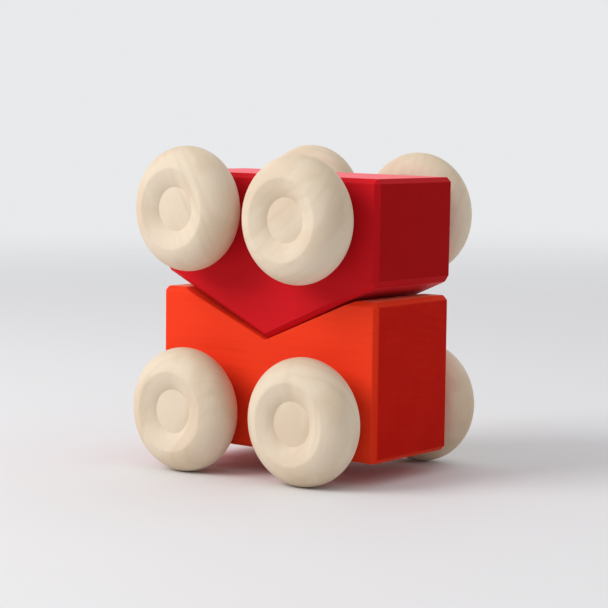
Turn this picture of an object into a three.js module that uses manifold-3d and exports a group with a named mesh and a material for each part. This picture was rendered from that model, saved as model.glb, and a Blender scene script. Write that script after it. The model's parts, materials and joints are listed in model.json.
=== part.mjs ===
// Two stacking wooden block cars: an orange car with a V notch across its top, and a crimson car
// whose gable top is turned over and set down in that notch, so that its wheels point up.
// Millimetres, +Z up. The origin is on the floor, below the middle of the whole stack.
// The cars' fronts face +X, and their axles run along Y.
import * as THREE from 'three';
import { mergeVertices } from 'three/addons/utils/BufferGeometryUtils.js';
import Module from 'manifold-3d';

// Both blocks are cut from the same stock.
const blockLength = 87.7;
const blockWidth = 39.5;
const edgeChamfer = 1.5;
const groundClearance = 7.6;

// The orange block, and the notch that the crimson gable sits in.
const orangeHeight = 50;
const notchDepth = 14.7;
const notchHalfWidth = 34.85;

// The crimson block, measured with its wheels down.
const crimsonEndHeight = 32.6;
const gableSlope = THREE.MathUtils.degToRad(24);

// Turned wheels: the rounded tread's section is an ellipse about a ring inside the rim, and the
// dish in each face cuts into it at the crest.
const wheelRadius = 20;
const roundRadius = 10;
const roundHalfWidth = 8.3;
const crestRadius = 12.8;
const wheelTrack = 62.4;
const hubRadius = 7;
const hubEdge = 5.75;
const hubCrown = 6.15;
const dishBow = 1.3;

// Dowel axles, glued into blind bores in the wheels and free to turn in the block.
const axleRadius = 4;
const axleBoreRadius = 4.4;
const wheelBoreRadius = 4.3;
const wheelBoreEnd = 1.8;
const glueGap = 0.3;

// Where the axles lie in each block: drilled by hand, so that the line through the two bores rises
// a little towards the front, and the block leans forwards when its wheels stand level.
const orangeAxle = { middle: 0.7, spacing: 48.6, height: 20, rise: 0.02 };
const crimsonAxle = { middle: -0.9, spacing: 45.4, height: 19.87, rise: 0.0294 };

// Where the orange car's middle stands on the floor.
const orangePlace = new THREE.Vector2(-1, -0.6);

// How the crimson car rests: its ridge just above the notch's valley, leaning on one flank.
const ridgeGap = 0.45;
const lean = 0.0282;
const turn = -0.0186;
const ridgePlace = new THREE.Vector2(-0.54, 0);

const wheelSides = 32;
const treadSteps = 8;
const dishSteps = 3;
const dowelSides = 24;

const orangeStain = new THREE.MeshStandardMaterial({ color: 0xee4a22, roughness: 0.45, metalness: 0 });
const crimsonStain = new THREE.MeshStandardMaterial({ color: 0xc8202e, roughness: 0.45, metalness: 0 });
const bareMaple = new THREE.MeshStandardMaterial({ color: 0xe6d2ae, roughness: 0.6, metalness: 0 });

const wasm = await Module();
wasm.setup();

// A closed geometry as a manifold solid, for cutting.
function toSolid(geometry) {
  const bare = geometry.clone();
  bare.deleteAttribute('normal');
  bare.deleteAttribute('uv');
  const merged = mergeVertices(bare, 1e-4);
  return new wasm.Manifold(new wasm.Mesh({
    numProp: 3,
    vertProperties: new Float32Array(merged.attributes.position.array),
    triVerts: new Uint32Array(merged.index.array),
  }));
}

function toGeometry(solid) {
  const mesh = solid.getMesh();
  const geometry = new THREE.BufferGeometry();
  geometry.setAttribute('position', new THREE.BufferAttribute(mesh.vertProperties, 3));
  geometry.setIndex(new THREE.BufferAttribute(mesh.triVerts, 1));
  geometry.computeVertexNormals();
  return geometry;
}

// A closed outline in X and Z whose corners are cut back by the chamfer, where they have one.
function chamferedShape(corners) {
  const outline = [];
  corners.forEach(({ at, chamfer = 0 }, i) => {
    if (chamfer === 0) {
      outline.push(at);
      return;
    }
    const before = corners.at(i - 1).at;
    const after = corners[(i + 1) % corners.length].at;
    for (const neighbour of [before, after]) {
      const step = neighbour.clone().sub(at).setLength(chamfer);
      outline.push(at.clone().add(step));
    }
  });
  return new THREE.Shape(outline);
}

// The outline as a bar along Y, centred, with its two faces chamfered all round.
function barAlongY(shape, width, chamfer) {
  const geometry = new THREE.ExtrudeGeometry(shape, {
    depth: width - 2 * chamfer,
    bevelEnabled: chamfer > 0,
    bevelThickness: chamfer,
    bevelSize: chamfer,
    bevelOffset: -chamfer,
    bevelSegments: 1,
  });
  geometry.translate(0, 0, chamfer - width / 2);
  geometry.rotateX(Math.PI / 2);
  return geometry;
}

const corner = (x, z, chamfer) => ({ at: new THREE.Vector2(x, z), chamfer });

function axlePlaces({ middle, spacing, height, rise }) {
  const at = (x) => new THREE.Vector3(x, 0, height + rise * x);
  return { front: at(middle + spacing / 2), rear: at(middle - spacing / 2) };
}

// A block with its two axle bores drilled from side to side.
function drilled(block, axle) {
  let solid = block;
  for (const place of Object.values(axlePlaces(axle))) {
    const drill = new THREE.CylinderGeometry(axleBoreRadius, axleBoreRadius, 2 * blockWidth, dowelSides);
    drill.translate(place.x, place.y, place.z);
    solid = solid.subtract(toSolid(drill));
  }
  return solid;
}

function orangeBlock() {
  const end = blockLength / 2;
  const top = groundClearance + orangeHeight;
  const blank = barAlongY(chamferedShape([
    corner(-end, groundClearance, edgeChamfer),
    corner(end, groundClearance, edgeChamfer),
    corner(end, top, edgeChamfer),
    corner(-end, top, edgeChamfer),
  ]), blockWidth, edgeChamfer);
  const overcut = 2;
  const cutter = barAlongY(chamferedShape([
    corner(0, top - notchDepth),
    corner(notchHalfWidth * overcut, top - notchDepth + notchDepth * overcut),
    corner(-notchHalfWidth * overcut, top - notchDepth + notchDepth * overcut),
  ]), 2 * blockWidth, 0);
  return toGeometry(drilled(toSolid(blank).subtract(toSolid(cutter)), orangeAxle));
}

const crimsonEave = groundClearance + crimsonEndHeight;
const crimsonRidge = crimsonEave + blockLength / 2 * Math.tan(gableSlope);

function crimsonBlock() {
  const end = blockLength / 2;
  const blank = barAlongY(chamferedShape([
    corner(-end, groundClearance, edgeChamfer),
    corner(end, groundClearance, edgeChamfer),
    corner(end, crimsonEave, edgeChamfer),
    corner(0, crimsonRidge),
    corner(-end, crimsonEave, edgeChamfer),
  ]), blockWidth, edgeChamfer);
  return toGeometry(drilled(toSolid(blank), crimsonAxle));
}

const crestAngle = Math.acos((crestRadius - roundRadius) / (wheelRadius - roundRadius));
const crestHeight = roundHalfWidth * Math.sin(crestAngle);

// The dish from the hub's edge out to the crest, a little steeper at the hub.
function dishCurve() {
  const points = [];
  for (let i = 0; i <= dishSteps; i++) {
    const along = i / dishSteps;
    const fall = (crestHeight - hubEdge) * (1 - along) ** dishBow;
    points.push(new THREE.Vector2(hubRadius + (crestRadius - hubRadius) * along, crestHeight - fall));
  }
  return points;
}

// Half a wheel's section, turned about Y with its outer face towards +Y.
function wheelGeometry() {
  const dish = dishCurve();
  const tread = [];
  for (let i = 1; i < treadSteps; i++) {
    const angle = crestAngle * (1 - 2 * i / treadSteps);
    const out = roundRadius + (wheelRadius - roundRadius) * Math.cos(angle);
    tread.push(new THREE.Vector2(out, roundHalfWidth * Math.sin(angle)));
  }
  const innerDish = dish.map((p) => new THREE.Vector2(p.x, -p.y)).reverse();
  const section = [
    new THREE.Vector2(0, hubCrown),
    ...dish,
    ...tread,
    ...innerDish,
    new THREE.Vector2(wheelBoreRadius, -hubCrown),
    new THREE.Vector2(wheelBoreRadius, wheelBoreEnd),
    new THREE.Vector2(0, wheelBoreEnd),
  ];
  return new THREE.LatheGeometry(section.reverse(), wheelSides);
}

function axleGeometry() {
  const length = wheelTrack + 2 * (wheelBoreEnd - glueGap);
  return new THREE.CylinderGeometry(axleRadius, axleRadius, length, dowelSides);
}

function named(name, geometry, material) {
  const mesh = new THREE.Mesh(geometry, material);
  mesh.name = name;
  return mesh;
}

// A car in its block's own frame: the block, and at each end an axle with a wheel on each side.
function car(name, block, stain, axle) {
  const group = new THREE.Group();
  group.add(named(`${name}_block`, block, stain));
  for (const [end, place] of Object.entries(axlePlaces(axle))) {
    const axleSet = new THREE.Group();
    axleSet.position.copy(place);
    axleSet.add(named(`${name}_${end}_axle`, axleGeometry(), bareMaple));
    for (const [side, towards] of Object.entries({ left: 1, right: -1 })) {
      const wheel = named(`${name}_${end}_${side}_wheel`, wheelGeometry(), bareMaple);
      wheel.position.y = towards * wheelTrack / 2;
      wheel.rotation.z = towards === 1 ? 0 : Math.PI;
      axleSet.add(wheel);
    }
    group.add(axleSet);
  }
  return group;
}

const group = new THREE.Group();

// The orange car stands on its wheels, and its block leans forwards with the line of its axles.
const orangeCar = car('orange', orangeBlock(), orangeStain, orangeAxle);
orangeCar.position.z = -orangeAxle.height;
const stance = new THREE.Group();
stance.position.set(orangePlace.x, orangePlace.y, wheelRadius);
stance.rotation.y = Math.atan(orangeAxle.rise);
stance.add(orangeCar);
group.add(stance);

// The crimson car hangs from its ridge line: turned over, leant and turned a little by hand.
const crimsonCar = car('crimson', crimsonBlock(), crimsonStain, crimsonAxle);
crimsonCar.position.z = -crimsonRidge;
const notchFloor = groundClearance + orangeHeight - notchDepth;
const seat = new THREE.Group();
seat.position.set(ridgePlace.x, ridgePlace.y, notchFloor + ridgeGap);
seat.rotation.set(Math.PI, lean, turn, 'ZYX');
seat.add(crimsonCar);
group.add(seat);

export default group;
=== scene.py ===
import json
import math

import bmesh
import bpy
from mathutils import Matrix, Vector


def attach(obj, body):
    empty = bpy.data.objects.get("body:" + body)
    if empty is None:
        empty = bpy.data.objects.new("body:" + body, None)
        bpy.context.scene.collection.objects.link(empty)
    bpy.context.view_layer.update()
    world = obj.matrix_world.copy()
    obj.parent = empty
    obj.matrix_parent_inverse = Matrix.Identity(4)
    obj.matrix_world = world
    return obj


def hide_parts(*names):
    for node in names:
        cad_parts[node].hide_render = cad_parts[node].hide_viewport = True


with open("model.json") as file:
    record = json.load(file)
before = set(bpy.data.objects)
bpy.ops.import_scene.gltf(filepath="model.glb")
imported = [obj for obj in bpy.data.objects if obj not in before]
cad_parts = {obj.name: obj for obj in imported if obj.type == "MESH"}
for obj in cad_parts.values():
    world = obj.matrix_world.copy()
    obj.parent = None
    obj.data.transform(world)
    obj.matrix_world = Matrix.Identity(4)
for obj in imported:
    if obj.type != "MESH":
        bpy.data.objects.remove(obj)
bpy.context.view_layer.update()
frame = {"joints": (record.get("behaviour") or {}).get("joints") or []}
scene = bpy.context.scene

# ---- Camera ---------------------------------------------------------------------------------
# A short telephoto at a child's eye level, two thirds of a metre away, held almost level and
# looking past the front right corner of the stack.
camera_at = Vector((0.3907, -0.4941, 0.1056))
camera_aim = Vector((-0.0005, -0.0002, 0.0530))
camera_roll = -0.0043
camera_data = bpy.data.cameras.new("camera")
camera_data.sensor_width = 36
camera_data.lens = 115.06
camera_data.clip_start = 0.01
camera_data.clip_end = 20
camera = bpy.data.objects.new("camera", camera_data)
camera.location = camera_at
aim = (camera_aim - camera_at).to_track_quat("-Z", "Y").to_matrix()
camera.rotation_euler = (aim @ Matrix.Rotation(camera_roll, 3, "Z")).to_euler()
scene.collection.objects.link(camera)
scene.camera = camera
scene.view_settings.view_transform = "Standard"


# ---- Table top ------------------------------------------------------------------------------
# Matt white paper, laid flat and running off into the pale studio without a horizon, so its
# outer part thins away to let the backdrop through.
paper_radius = 2.0
paper_fade = (0.25, 1.9)
paper_white = (0.76, 0.75, 0.76, 1)

paper_mesh = bpy.data.meshes.new("paper")
disc = bmesh.new()
bmesh.ops.create_circle(disc, cap_ends=True, segments=128, radius=paper_radius)
disc.to_mesh(paper_mesh)
disc.free()
paper = bpy.data.objects.new("paper", paper_mesh)
scene.collection.objects.link(paper)

material = bpy.data.materials.new("white_paper")
material.use_nodes = True
nodes, links = material.node_tree.nodes, material.node_tree.links
shader = nodes["Principled BSDF"]
shader.inputs["Base Color"].default_value = paper_white
shader.inputs["Roughness"].default_value = 0.7
shader.inputs["Specular IOR Level"].default_value = 0.25
place = nodes.new("ShaderNodeTexCoord")
distance = nodes.new("ShaderNodeVectorMath")
distance.operation = "LENGTH"
fade = nodes.new("ShaderNodeMapRange")
fade.interpolation_type = "SMOOTHERSTEP"
fade.inputs["From Min"].default_value = paper_fade[0]
fade.inputs["From Max"].default_value = paper_fade[1]
clear = nodes.new("ShaderNodeBsdfTransparent")
mixed = nodes.new("ShaderNodeMixShader")
links.new(place.outputs["Object"], distance.inputs[0])
links.new(distance.outputs["Value"], fade.inputs["Value"])
links.new(fade.outputs["Result"], mixed.inputs["Fac"])
links.new(shader.outputs["BSDF"], mixed.inputs[1])
links.new(clear.outputs["BSDF"], mixed.inputs[2])
links.new(mixed.outputs["Shader"], nodes["Material Output"].inputs["Surface"])
paper_mesh.materials.append(material)


# ---- Light ----------------------------------------------------------------------------------
# One soft window of light stands to the left of the near wheels. The room fills the rest: a faint
# even grey, with broad lobes behind, to the right, overhead and in front. The camera sees only
# the pale backdrop.
window_from = Vector((-0.49, -0.65, 0.57))
window_aim = Vector((0, 0, 0.05))
window_distance = 1.2
window_side = 0.7
window_power = 9.9
window_tint = (1.0, 0.99, 0.975)
backdrop_seen = (0.805, 0.82, 0.835, 1)
room_tint = (0.97, 0.985, 1.0, 1)
room_even = 0.155
room_lobes = (((-0.62, 0.79, 0), 0.46), ((0.79, 0.62, 0), 0.42), ((0, 0, 1), 0.5),
              ((-0.3, -0.95, 0), 0.2))

window_data = bpy.data.lights.new("window", "AREA")
window_data.shape = "SQUARE"
window_data.size = window_side
window_data.energy = window_power
window_data.color = window_tint
window = bpy.data.objects.new("window", window_data)
window.location = window_aim + window_from.normalized() * window_distance
window.rotation_euler = (-window_from).to_track_quat("-Z", "Y").to_euler()
scene.collection.objects.link(window)

room = bpy.data.worlds.new("room")
room.use_nodes = True
scene.world = room
nodes, links = room.node_tree.nodes, room.node_tree.links
nodes.clear()
place = nodes.new("ShaderNodeTexCoord")
total = nodes.new("ShaderNodeValue").outputs["Value"]
total.default_value = room_even
for towards, strength in room_lobes:
    facing = nodes.new("ShaderNodeVectorMath")
    facing.operation = "DOT_PRODUCT"
    facing.inputs[1].default_value = towards
    lit = nodes.new("ShaderNodeMath")
    lit.operation = "MULTIPLY_ADD"
    lit.inputs[1].default_value = strength
    above = nodes.new("ShaderNodeMath")
    above.operation = "MAXIMUM"
    above.inputs[1].default_value = 0
    links.new(place.outputs["Generated"], facing.inputs[0])
    links.new(facing.outputs["Value"], above.inputs[0])
    links.new(above.outputs["Value"], lit.inputs[0])
    links.new(total, lit.inputs[2])
    total = lit.outputs["Value"]
fill = nodes.new("ShaderNodeBackground")
fill.inputs["Color"].default_value = room_tint
seen = nodes.new("ShaderNodeBackground")
seen.inputs["Color"].default_value = backdrop_seen
path = nodes.new("ShaderNodeLightPath")
either = nodes.new("ShaderNodeMixShader")
output = nodes.new("ShaderNodeOutputWorld")
links.new(total, fill.inputs["Strength"])
links.new(path.outputs["Is Camera Ray"], either.inputs["Fac"])
links.new(fill.outputs["Background"], either.inputs[1])
links.new(seen.outputs["Background"], either.inputs[2])
links.new(either.outputs["Shader"], output.inputs["Surface"])


# ---- Orange block ---------------------------------------------------------------------------
# The lower car's body: one piece of straight-grained maple with its arrises planed to a chamfer,
# a wide V notch sawn across its top and two axle bores drilled from side to side.
# It is stained orange-red and sealed with a thin satin lacquer.
block_length = 0.0877
block_width = 0.0395
half = block_length / 2
edge_chamfer = 0.0015
sanded_arris = 0.00035
sanded_above = math.radians(18)
ground_clearance = 0.0076
axle_bore_radius = 0.0044
orange_height = 0.050
orange_top = ground_clearance + orange_height
orange_axles = {"middle": 0.0007, "height": 0.020, "rise": 0.02}
notch_depth = 0.0147
notch_half_width = 0.03485
saw_overrun = 2
joint = {j["name"]: j for j in frame["joints"]}


def block_place(car, side, middle, height, rise):
    """A block's own place, x to its front and z from its wheels' treads, found from its axles.

    The line through the two bores rises a little towards the front. Also gives each bore's x, z.
    """
    front, rear = (Vector(joint[f"{car}_{end}_roll"]["pos_m"]) for end in ("front", "rear"))
    through = (front - rear).normalized()
    across = Vector(joint[f"{car}_front_roll"]["axis"]).normalized() * side
    above = through.cross(across)
    along = (through - rise * above).normalized()
    up = (above + rise * through).normalized()
    origin = (front + rear) / 2 - along * middle - up * (height + rise * middle)
    place = Matrix((along, across, up)).transposed().to_4x4()
    place.translation = origin
    reach = (front - rear).dot(along) / 2
    ends = {"front": middle + reach, "rear": middle - reach}
    return place, {end: (x, height + rise * x) for end, x in ends.items()}


def new_piece(name, shape, at):
    """An object from a bmesh, put in its place."""
    mesh = bpy.data.meshes.new(name)
    shape.to_mesh(mesh)
    shape.free()
    piece = bpy.data.objects.new(name, mesh)
    piece.matrix_world = at
    scene.collection.objects.link(piece)
    return piece


def prism(outline, width):
    """A bar along y whose section is the outline, given as (x, z) points."""
    shape = bmesh.new()
    ring = [shape.verts.new((x, -width / 2, z)) for x, z in outline]
    face = shape.faces.new(ring)
    pushed = bmesh.ops.extrude_face_region(shape, geom=[face])["geom"]
    moved = [v for v in pushed if isinstance(v, bmesh.types.BMVert)]
    bmesh.ops.translate(shape, verts=moved, vec=(0, width, 0))
    bmesh.ops.recalc_face_normals(shape, faces=shape.faces)
    return shape


def dowel(radius, length, sides=96):
    """A round bar along y."""
    shape = bmesh.new()
    turned = Matrix.Rotation(math.pi / 2, 4, "X")
    bmesh.ops.create_cone(shape, cap_ends=True, segments=sides, radius1=radius,
                          radius2=radius, depth=length, matrix=turned)
    return shape


def apply_all(piece):
    """Makes the piece's modifiers part of its mesh."""
    graph = bpy.context.evaluated_depsgraph_get()
    finished = bpy.data.meshes.new_from_object(piece.evaluated_get(graph))
    rough = piece.data
    piece.modifiers.clear()
    piece.data = finished
    finished.name = piece.name
    bpy.data.meshes.remove(rough)


def cut_away(piece, shape, at):
    """Saws or drills the shape out of the piece."""
    tool = new_piece("tool", shape, at)
    cut = piece.modifiers.new("cut", "BOOLEAN")
    cut.solver = "EXACT"
    cut.object = tool
    apply_all(piece)
    spent = tool.data
    bpy.data.objects.remove(tool)
    bpy.data.meshes.remove(spent)


def sand_arrises(piece):
    """Softens every sharp edge as a sanding block does, and keeps the broad faces flat."""
    piece.data.shade_smooth()
    soft = piece.modifiers.new("sanding", "BEVEL")
    soft.width = sanded_arris
    soft.segments = 3
    soft.limit_method = "ANGLE"
    soft.angle_limit = sanded_above
    flat = piece.modifiers.new("flat_faces", "WEIGHTED_NORMAL")
    flat.weight = 100
    apply_all(piece)


def wooden_block(name, outline, square_edges, at, bores):
    """A planed bar with chamfered arrises, all but those square edges, and its two axle bores."""
    shape = prism(outline, block_width)
    arrises = [e for e in shape.edges if not square_edges(e)]
    bmesh.ops.bevel(shape, geom=arrises, offset=edge_chamfer, segments=1, affect="EDGES",
                    profile=0.5, clamp_overlap=True)
    block = new_piece(name, shape, at)
    for x, z in bores.values():
        drill = dowel(axle_bore_radius, 2 * block_width)
        cut_away(block, drill, at @ Matrix.Translation((x, 0, z)))
    return block


orange_place, orange_bores = block_place("orange", 1, **orange_axles)
orange_block = wooden_block(
    "orange_body",
    [(-half, ground_clearance), (half, ground_clearance), (half, orange_top), (-half, orange_top)],
    lambda edge: False, orange_place, orange_bores)
notch = [(0, orange_top - notch_depth)]
notch += [(side * saw_overrun * notch_half_width, orange_top + (saw_overrun - 1) * notch_depth)
          for side in (1, -1)]
cut_away(orange_block, prism(notch, 2 * block_width), orange_place)
sand_arrises(orange_block)


def cut_from_board(piece, board):
    """Keeps where in its board the piece was cut, and where its surface cuts across the grain."""
    mesh = piece.data
    place = mesh.attributes.new("board_place", "FLOAT_VECTOR", "POINT")
    for vertex in mesh.vertices:
        place.data[vertex.index].vector = board @ vertex.co
    turn = board.to_3x3()
    across = mesh.attributes.new("across_grain", "FLOAT", "CORNER")
    for loop, normal in zip(mesh.loops, mesh.corner_normals):
        across.data[loop.index].value = abs((turn @ normal.vector).x)


def wood_grain_group():
    """Growth rings, figure, fibres and flecks of maple, along x in its board, as masks."""
    group = bpy.data.node_groups.new("maple grain", "ShaderNodeTree")
    sockets = group.interface
    for name, value in (("Ring Width", 0.003), ("Waviness", 0.004), ("Fibre Scale", 1500.0)):
        socket = sockets.new_socket(name, in_out="INPUT", socket_type="NodeSocketFloat")
        socket.default_value = value
    for name in ("Rings", "Figure", "Fibres", "Flecks", "End Grain", "Height"):
        sockets.new_socket(name, in_out="OUTPUT", socket_type="NodeSocketFloat")
    nodes, links = group.nodes, group.links
    given = nodes.new("NodeGroupInput")
    result = nodes.new("NodeGroupOutput")
    board = nodes.new("ShaderNodeAttribute")
    board.attribute_name = "board_place"

    def math_node(operation, *values):
        node = nodes.new("ShaderNodeMath")
        node.operation = operation
        for socket, value in zip(node.inputs, values):
            if isinstance(value, (int, float)):
                socket.default_value = value
            else:
                links.new(value, socket)
        return node.outputs["Value"]

    def noise_along(stretch, scale, detail, roughness=0.5):
        """Noise drawn out along the grain."""
        squeezed = nodes.new("ShaderNodeVectorMath")
        squeezed.operation = "MULTIPLY"
        squeezed.inputs[1].default_value = (1 / stretch, 1, 1)
        texture = nodes.new("ShaderNodeTexNoise")
        texture.inputs["Detail"].default_value = detail
        texture.inputs["Roughness"].default_value = roughness
        links.new(board.outputs["Vector"], squeezed.inputs[0])
        links.new(squeezed.outputs["Vector"], texture.inputs["Vector"])
        if isinstance(scale, (int, float)):
            texture.inputs["Scale"].default_value = scale
        else:
            links.new(scale, texture.inputs["Scale"])
        return texture.outputs["Fac"]

    def between(value, low, high):
        """How far the value is from low to high, eased at both ends."""
        node = nodes.new("ShaderNodeMapRange")
        node.interpolation_type = "SMOOTHSTEP"
        node.inputs["From Min"].default_value = low
        node.inputs["From Max"].default_value = high
        links.new(value, node.inputs["Value"])
        return node.outputs["Result"]

    # Rings stand about a pith well off to one side, and wander along the board.
    apart = nodes.new("ShaderNodeSeparateXYZ")
    links.new(board.outputs["Vector"], apart.inputs["Vector"])
    wander = math_node("SUBTRACT", noise_along(4, 55.0, 2.0), 0.5)
    radius = math_node("SQRT", math_node("ADD", math_node("POWER", apart.outputs["Y"], 2),
                                         math_node("POWER", apart.outputs["Z"], 2)))
    shifted = math_node("MULTIPLY_ADD", wander, given.outputs["Waviness"], radius)
    years = math_node("DIVIDE", shifted, given.outputs["Ring Width"])
    wave = math_node("COSINE", math_node("MULTIPLY", years, 2 * math.pi))
    late_wood = math_node("POWER", math_node("MULTIPLY_ADD", wave, 0.5, 0.5), 3)
    rings = math_node("MULTIPLY", late_wood, between(noise_along(3, 90.0, 1.0), 0.35, 0.65))

    # Figure is the broad, soft-edged play of light and dark, and fibres are long and thin.
    figure = between(noise_along(2.2, 120.0, 1.5), 0.42, 0.62)
    fibres = noise_along(30, given.outputs["Fibre Scale"], 3.0, 0.6)
    flecks = between(noise_along(12, 900.0, 2.0), 0.64, 0.76)
    across = nodes.new("ShaderNodeAttribute")
    across.attribute_name = "across_grain"

    links.new(rings, result.inputs["Rings"])
    links.new(figure, result.inputs["Figure"])
    links.new(fibres, result.inputs["Fibres"])
    links.new(flecks, result.inputs["Flecks"])
    links.new(math_node("POWER", across.outputs["Fac"], 3), result.inputs["End Grain"])
    links.new(math_node("MULTIPLY_ADD", flecks, -0.8, fibres), result.inputs["Height"])
    return group


maple_grain = wood_grain_group()


def mixed_colour(tree, below, above, mask, share):
    """Lays the colour above over the one below, by a share of the mask."""
    nodes, links = tree.nodes, tree.links
    amount = nodes.new("ShaderNodeMath")
    amount.operation = "MULTIPLY"
    amount.inputs[1].default_value = share
    links.new(mask, amount.inputs[0])
    mix = nodes.new("ShaderNodeMix")
    mix.data_type = "RGBA"
    links.new(amount.outputs["Value"], mix.inputs["Factor"])
    for socket, colour in ((mix.inputs["A"], below), (mix.inputs["B"], above)):
        if isinstance(colour, tuple):
            socket.default_value = colour
        else:
            links.new(colour, socket)
    return mix.outputs["Result"]


# Painted sheen: how edge-on a surface must be seen before its paler painted colour begins, and
# where it is full.
painted_sheen_begins = 0.82
painted_sheen_full = 0.93
gloss_spread = (-0.05, 0.07)


def wood_finish(name, pale, dark, end_grain, painted_sheen, shares, shine, roughness, relief):
    """A wood material: its pale and end-grain colours, with shares of the dark in each mask.

    The painted sheen is a paler colour painted into the base colour where the surface is seen at a
    low angle, standing in for the reflection of the pale room there.
    """
    material = bpy.data.materials.new(name)
    material.use_nodes = True
    tree = material.node_tree
    nodes, links = tree.nodes, tree.links
    shader = nodes["Principled BSDF"]
    shader.inputs["Specular IOR Level"].default_value = shine
    grain = nodes.new("ShaderNodeGroup")
    grain.node_tree = maple_grain
    colour = mixed_colour(tree, pale, end_grain, grain.outputs["End Grain"], 1)
    for mask, share in shares.items():
        colour = mixed_colour(tree, colour, dark, grain.outputs[mask], share)
    # Painted sheen: a paler colour is painted into the base colour where the surface is seen
    # edge-on, in place of the room's reflection.
    angle = nodes.new("ShaderNodeLayerWeight")
    low_angle = nodes.new("ShaderNodeMapRange")
    low_angle.interpolation_type = "SMOOTHSTEP"
    low_angle.inputs["From Min"].default_value = painted_sheen_begins
    low_angle.inputs["From Max"].default_value = painted_sheen_full
    links.new(angle.outputs["Facing"], low_angle.inputs["Value"])
    colour = mixed_colour(tree, colour, painted_sheen, low_angle.outputs["Result"], 1)
    links.new(colour, shader.inputs["Base Color"])
    gloss = nodes.new("ShaderNodeMapRange")
    gloss.inputs["To Min"].default_value = roughness + gloss_spread[0]
    gloss.inputs["To Max"].default_value = roughness + gloss_spread[1]
    links.new(grain.outputs["Fibres"], gloss.inputs["Value"])
    links.new(gloss.outputs["Result"], shader.inputs["Roughness"])
    bump = nodes.new("ShaderNodeBump")
    bump.inputs["Distance"].default_value = relief
    links.new(grain.outputs["Height"], bump.inputs["Height"])
    links.new(bump.outputs["Normal"], shader.inputs["Normal"])
    return material


# Its painted sheen colour is a pale orange painted on faces seen edge-on, standing in for the
# room's reflection.
orange_stain = wood_finish(
    "orange_stain", pale=(0.92, 0.055, 0.018, 1), dark=(0.70, 0.024, 0.007, 1),
    end_grain=(0.47, 0.004, 0.001, 1), painted_sheen=(0.96, 0.26, 0.15, 1),
    shares={"Rings": 0.1, "Figure": 0.08, "Fibres": 0.25, "Flecks": 0.12},
    shine=0.02, roughness=0.42, relief=0.00003)
cut_from_board(orange_block, Matrix.Translation((0.1, 0.02, 0.06)))
orange_block.data.materials.append(orange_stain)
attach(orange_block, "orange_car")
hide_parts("orange_block")


# ---- Crimson block --------------------------------------------------------------------------
# The upper car's body, from the same board: its top is sawn to a low gable along the whole
# length, and only the ridge is left sharp. It is stained crimson under the same lacquer, and
# stands on its ridge in the notch.
crimson_end_height = 0.0326
gable_slope = math.radians(24)
crimson_axles = {"middle": -0.0009, "height": 0.01987, "rise": 0.0294}

crimson_place, crimson_bores = block_place("crimson", -1, **crimson_axles)
eave = ground_clearance + crimson_end_height
ridge = eave + half * math.tan(gable_slope)
crimson_block = wooden_block(
    "crimson_body",
    [(-half, ground_clearance), (half, ground_clearance), (half, eave), (0, ridge), (-half, eave)],
    lambda edge: all(abs(v.co.z - ridge) < 1e-6 for v in edge.verts),
    crimson_place, crimson_bores)
sand_arrises(crimson_block)

# Its painted sheen colour is a pale pink painted on faces seen edge-on, standing in for the room's
# reflection.
crimson_stain = wood_finish(
    "crimson_stain", pale=(0.64, 0.012, 0.019, 1), dark=(0.48, 0.008, 0.012, 1),
    end_grain=(0.36, 0.002, 0.003, 1), painted_sheen=(0.95, 0.16, 0.19, 1),
    shares={"Rings": 0.1, "Figure": 0.08, "Fibres": 0.25, "Flecks": 0.12},
    shine=0.02, roughness=0.42, relief=0.00003)
cut_from_board(crimson_block, Matrix.Translation((0.4, -0.05, 0.09)))
crimson_block.data.materials.append(crimson_stain)
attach(crimson_block, "crimson_car")
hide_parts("crimson_block")


# ---- Wheels ---------------------------------------------------------------------------------
# Eight maple wheels, each turned in one piece from face grain: a rounded tread, a crest round the
# dish in each face, which steepens towards a low domed hub, and a blind bore from the inside.
# They are sanded fine and left bare.
wheel_radius = 0.020
round_radius = 0.010
round_half_width = 0.0083
crest_radius = 0.0128
crest_angle = math.acos((crest_radius - round_radius) / (wheel_radius - round_radius))
hub_radius = 0.007
hub_edge = 0.00575
hub_crown = 0.0062
hub_dome = 2.4
crest_slope = 0.23
wheel_bore_radius = 0.0041
wheel_bore_end = 0.0018
wheel_track = 0.0624
wheel_sides = 128
hub_steps = 8
dish_steps = 16
tread_steps = 48
crease = math.radians(35)


def wheel_face():
    """Half section of a face, from the hub's middle out to the crest round the dish."""
    section = []
    for i in range(hub_steps + 1):
        out = i / hub_steps
        section.append((hub_radius * out, hub_crown - (hub_crown - hub_edge) * out ** hub_dome))
    reach = crest_radius - hub_radius
    crest = round_half_width * math.sin(crest_angle)
    bend = (crest - hub_edge - crest_slope * reach) / reach ** 3
    for i in range(1, dish_steps + 1):
        back = reach * (1 - i / dish_steps)
        section.append((crest_radius - back, crest - crest_slope * back - bend * back ** 3))
    return section


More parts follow.
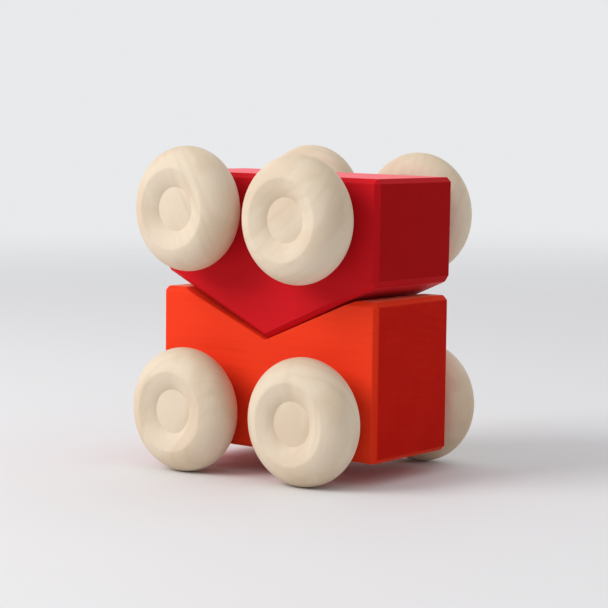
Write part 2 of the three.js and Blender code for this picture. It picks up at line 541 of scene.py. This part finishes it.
def wheel_shape():
    """The whole wheel, turned about y with its outer face towards +y."""
    face = wheel_face()
    round_over = wheel_radius - round_radius
    tread = [(round_radius + round_over * math.cos(a), round_half_width * math.sin(a))
             for a in (crest_angle * (1 - 2 * i / tread_steps) for i in range(1, tread_steps))]
    inner = [(r, -t) for r, t in reversed(face) if r > wheel_bore_radius]
    section = face + tread + inner + [(wheel_bore_radius, -hub_crown),
                                      (wheel_bore_radius, wheel_bore_end), (0, wheel_bore_end)]
    shape = bmesh.new()
    rings = []
    for r, t in section:
        if r == 0:
            rings.append([shape.verts.new((0, t, 0))])
            continue
        turn = (2 * math.pi * i / wheel_sides for i in range(wheel_sides))
        rings.append([shape.verts.new((r * math.cos(a), t, r * math.sin(a))) for a in turn])
    for first, second in zip(rings, rings[1:]):
        for i in range(wheel_sides):
            j = (i + 1) % wheel_sides
            corners = [first[i % len(first)], first[j % len(first)],
                       second[j % len(second)], second[i % len(second)]]
            shape.faces.new(list(dict.fromkeys(corners)))
    bmesh.ops.recalc_face_normals(shape, faces=shape.faces)
    return shape


# Its painted sheen colour is close to its pale colour, so the painted reflection on edge-on faces
# is slight.
bare_maple = wood_finish(
    "bare_maple", pale=(0.77, 0.655, 0.515, 1), dark=(0.61, 0.455, 0.30, 1),
    end_grain=(0.69, 0.555, 0.40, 1), painted_sheen=(0.76, 0.62, 0.46, 1),
    shares={"Rings": 0.25, "Figure": 0.35, "Fibres": 0.3, "Flecks": 0.15},
    shine=0.3, roughness=0.58, relief=0.00002)

cars = {"orange": (orange_place, orange_bores), "crimson": (crimson_place, crimson_bores)}
grain_turn = {
    "orange_front_left": 20, "orange_front_right": 85, "orange_rear_left": 140,
    "orange_rear_right": 60, "crimson_front_left": 35, "crimson_front_right": 110,
    "crimson_rear_left": 120, "crimson_rear_right": 10,
}
laid_flat = Matrix.Rotation(math.pi / 2, 4, "X")
for number, (wheel_name, degrees) in enumerate(grain_turn.items()):
    car, end, side = wheel_name.split("_")
    at, bores = cars[car]
    x, z = bores[end]
    y = wheel_track / 2 if side == "left" else -wheel_track / 2
    facing = Matrix.Rotation(0 if side == "left" else math.pi, 4, "Z")
    wheel = new_piece(f"{wheel_name}_turned_wheel", wheel_shape(),
                      at @ Matrix.Translation((x, y, z)) @ facing)
    wheel.data.shade_smooth()
    wheel.data.set_sharp_from_angle(angle=crease)
    turned = Matrix.Rotation(math.radians(-degrees), 4, "Y")
    board_spot = Matrix.Translation((0.3 * number, 0.012 * number, 0.045))
    cut_from_board(wheel, board_spot @ laid_flat @ turned)
    wheel.data.materials.append(bare_maple)
    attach(wheel, f"{car}_{end}_wheels")
    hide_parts(f"{wheel_name}_wheel")


# ---- Axles ----------------------------------------------------------------------------------
# Four plain maple dowels. Each runs loose through its block and is glued at both ends into the
# blind bores of its wheels.
axle_radius = 0.004
glue_gap = 0.0003
axle_length = wheel_track + 2 * (wheel_bore_end - glue_gap)
along_grain = Matrix.Rotation(math.pi / 2, 4, "Z")
for number, (car, (at, bores)) in enumerate(cars.items()):
    for end, (x, z) in bores.items():
        axle = new_piece(f"{car}_{end}_dowel", dowel(axle_radius, axle_length),
                         at @ Matrix.Translation((x, 0, z)))
        sand_arrises(axle)
        board_spot = Matrix.Translation((0.2 + 0.2 * number, 0.03, 0.08))
        cut_from_board(axle, board_spot @ along_grain)
        axle.data.materials.append(bare_maple)
        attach(axle, f"{car}_{end}_wheels")
        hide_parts(f"{car}_{end}_axle")
